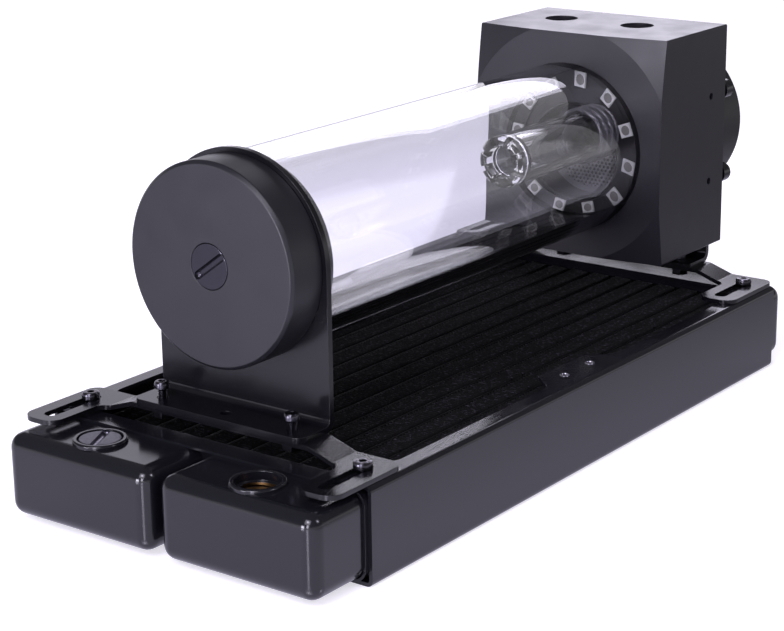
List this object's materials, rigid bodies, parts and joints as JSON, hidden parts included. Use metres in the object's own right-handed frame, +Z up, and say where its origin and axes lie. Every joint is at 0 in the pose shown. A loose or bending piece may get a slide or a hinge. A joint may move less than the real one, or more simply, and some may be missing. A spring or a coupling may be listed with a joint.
{
  "type": "coolant pump reservoir",
  "caption": "Clear horizontal tube reservoir between a turned end cap and a square pump block, on slotted brackets across the top of a long twin-fan radiator.",
  "frame": {"origin": "centre of the base, on the surface that the radiator's rails stand on, midway between the front of the port tanks and the back of the pump", "axes": "+Z up, +Y along the radiator from the port tanks to the pump, +X across it to the right as seen from the port end"},
  "size_m": [0.122, 0.2942, 0.1227],
  "materials": {
    "radiator_paint": "semi-gloss black paint",
    "port_metal": "black plated brass",
    "core_metal": "matt black paint",
    "bracket_paint": "satin black paint",
    "screw_steel": "black zinc",
    "cap_plastic": "satin, turned",
    "block_plastic": "satin, milled and turned",
    "seal_rubber": "matt",
    "tube_glass": "clear, polished",
    "riser_clear": "clear, polished",
    "fitting_plastic": "satin",
    "board": "black solder mask",
    "lamp": "white package",
    "pump_plastic": "moulded, fine grain",
    "stator_steel": "wound laminations",
    "ball_ceramic": "polished ceramic"
  },
  "bodies": {
    "radiator": {"side_rail_right": "radiator_paint", "side_rail_left": "radiator_paint", "header_plate_front": "radiator_paint", "header_plate_rear": "radiator_paint", "tank_front_right": "radiator_paint", "tank_front_left": "radiator_paint", "tank_rear": "radiator_paint", "port_collar_right": "port_metal", "port_collar_left": "port_metal", "flat_tubes": "core_metal", "fins": "core_metal", "slot_screws": "screw_steel"},
    "carriage": {"cross_bracket_front": "bracket_paint", "cross_bracket_rear": "bracket_paint", "upright_bracket_front": "bracket_paint", "upright_bracket_rear": "bracket_paint", "foot_screws": "screw_steel", "foot_nuts": "screw_steel", "end_cap": "cap_plastic", "cap_seals": "seal_rubber", "glass_tube": "tube_glass", "tube_seal": "seal_rubber", "pump_block": "block_plastic", "set_screws": "screw_steel", "inlet_strainer": "fitting_plastic", "led_board": "board", "leds": "lamp", "riser_tube": "riser_clear", "riser_tip": "riser_clear", "riser_fitting": "fitting_plastic", "pump_housing": "pump_plastic", "pump_seal": "seal_rubber", "pump_can": "pump_plastic", "stator": "stator_steel", "cable_gland": "seal_rubber", "pump_clamp": "bracket_paint", "clamp_screws": "screw_steel", "bearing_ball": "ball_ceramic", "bearing_pin": "screw_steel"},
    "fill_plug_ring": {"fill_plug_seal": "seal_rubber"},
    "fill_plug": {"fill_plug": "port_metal"},
    "port_plug_ring": {"port_plug_seal": "seal_rubber"},
    "port_plug": {"port_plug": "port_metal"},
    "impeller": {"impeller": "fitting_plastic"}
  },
  "joints": [
    {"name": "carriage_shift", "type": "slide", "parent": "radiator", "child": "carriage", "axis": [0, 1, 0], "range_m": [-0.0018, 0.017]},
    {"name": "fill_plug_travel", "type": "slide", "parent": "carriage", "child": "fill_plug_ring", "axis": [0, -1, 0], "range_m": [0, 0.00534]},
    {"name": "fill_plug_turn", "type": "hinge", "parent": "fill_plug_ring", "child": "fill_plug", "pos_m": [0, -0.11885, 0.082], "axis": [0, -1, 0], "range_deg": [0, 1440]},
    {"name": "port_plug_travel", "type": "slide", "parent": "radiator", "child": "port_plug_ring", "axis": [0, 0, 1], "range_m": [0, 0.00534]},
    {"name": "port_plug_turn", "type": "hinge", "parent": "port_plug_ring", "child": "port_plug", "pos_m": [-0.0303, -0.13575, 0.0292], "axis": [0, 0, 1], "range_deg": [0, 1440]},
    {"name": "impeller_spin", "type": "hinge", "parent": "carriage", "child": "impeller", "pos_m": [0, 0.11335, 0.082], "axis": [0, 1, 0], "continuous": true}
  ],
  "couplings": [
    {"joint": "fill_plug_turn", "follows": "fill_plug_travel", "rad_per_m": 4699.5},
    {"joint": "port_plug_turn", "follows": "port_plug_travel", "rad_per_m": 4699.5}
  ]
}
